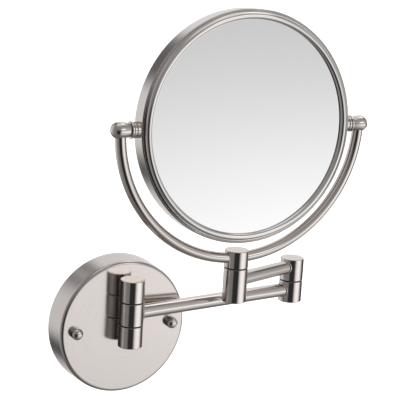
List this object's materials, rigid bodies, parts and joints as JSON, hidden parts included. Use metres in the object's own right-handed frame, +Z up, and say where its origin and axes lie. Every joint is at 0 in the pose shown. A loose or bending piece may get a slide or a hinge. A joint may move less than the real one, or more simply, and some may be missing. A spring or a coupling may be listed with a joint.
{
  "type": "extendable shaving mirror",
  "caption": "Round two-sided mirror in a half-round bow on two hinged arms, swinging out from a round wall rosette, in brushed nickel.",
  "frame": {"origin": "centre of the wall bracket's back face, on the wall", "axes": "+X right along the wall, +Y into the wall, +Z up; the plain mirror faces -Y"},
  "size_m": [0.2872, 0.0635, 0.3433],
  "materials": {
    "brushed_nickel": "satin brushed nickel plate, warm grey",
    "zinc_steel": "plain zinc-plated steel, inside and behind",
    "nylon": "dark moulded nylon",
    "mirror_glass": "silvered float glass",
    "foam": "dark closed-cell foam"
  },
  "bodies": {
    "wall_mount": {"wall_bracket": "zinc_steel", "rosette": "brushed_nickel", "rosette_stiffener": "zinc_steel", "bracket_stud_left": "zinc_steel", "bracket_stud_right": "zinc_steel", "dome_nut_left": "brushed_nickel", "dome_nut_right": "brushed_nickel", "standoff_screw_lower": "zinc_steel", "standoff_screw_upper": "zinc_steel", "wall_post_top": "brushed_nickel", "wall_post_bottom": "brushed_nickel", "wall_post_pin": "zinc_steel", "wall_post_plug": "brushed_nickel", "wall_washer_upper": "nylon", "wall_washer_lower": "nylon"},
    "lower_arm": {"wall_knuckle": "brushed_nickel", "wall_bush": "nylon", "lower_arm_tube": "brushed_nickel", "lower_arm_bead_wall": "brushed_nickel", "lower_arm_bead_elbow": "brushed_nickel", "elbow_lower_section": "brushed_nickel", "elbow_pin": "zinc_steel", "elbow_plug": "brushed_nickel", "elbow_washer": "nylon"},
    "upper_arm": {"elbow_upper_section": "brushed_nickel", "elbow_bush": "nylon", "upper_arm_tube": "brushed_nickel", "upper_arm_bead_elbow": "brushed_nickel", "upper_arm_bead_barrel": "brushed_nickel", "swivel_barrel": "brushed_nickel", "swivel_bush": "nylon", "swivel_plug": "brushed_nickel", "swivel_washer": "nylon"},
    "bow": {"bow_hub": "brushed_nickel", "bow_stem_screw": "zinc_steel", "bow_tube": "brushed_nickel", "finial_left": "brushed_nickel", "finial_right": "brushed_nickel", "friction_flange_left": "brushed_nickel", "friction_flange_right": "brushed_nickel", "pivot_pin_left": "zinc_steel", "pivot_pin_right": "zinc_steel", "pivot_nut_left": "zinc_steel", "pivot_nut_right": "zinc_steel"},
    "mirror_head": {"housing_band": "brushed_nickel", "front_bezel": "brushed_nickel", "back_bezel": "brushed_nickel", "plain_mirror": "mirror_glass", "magnifying_mirror": "mirror_glass", "partition": "zinc_steel", "front_pad": "foam", "back_pad": "foam", "spacer_hoop": "zinc_steel", "pivot_boss_left": "brushed_nickel", "pivot_boss_right": "brushed_nickel"}
  },
  "joints": [
    {"name": "wall_swivel", "type": "hinge", "parent": "wall_mount", "child": "lower_arm", "pos_m": [0, -0.0389, 0.0171], "axis": [0, 0, 1], "range_deg": [-192, 2]},
    {"name": "elbow_swivel", "type": "hinge", "parent": "lower_arm", "child": "upper_arm", "pos_m": [0.1756, -0.02323, 0.0396], "axis": [0, 0, 1], "range_deg": [0, 336]},
    {"name": "bow_swivel", "type": "hinge", "parent": "upper_arm", "child": "bow", "pos_m": [0.09881, -0.04671, 0.061], "axis": [0, 0, 1], "continuous": true},
    {"name": "mirror_tilt", "type": "hinge", "parent": "bow", "child": "mirror_head", "pos_m": [0.09881, -0.04671, 0.1794], "axis": [0.9991, -0.0419, 0], "continuous": true}
  ]
}
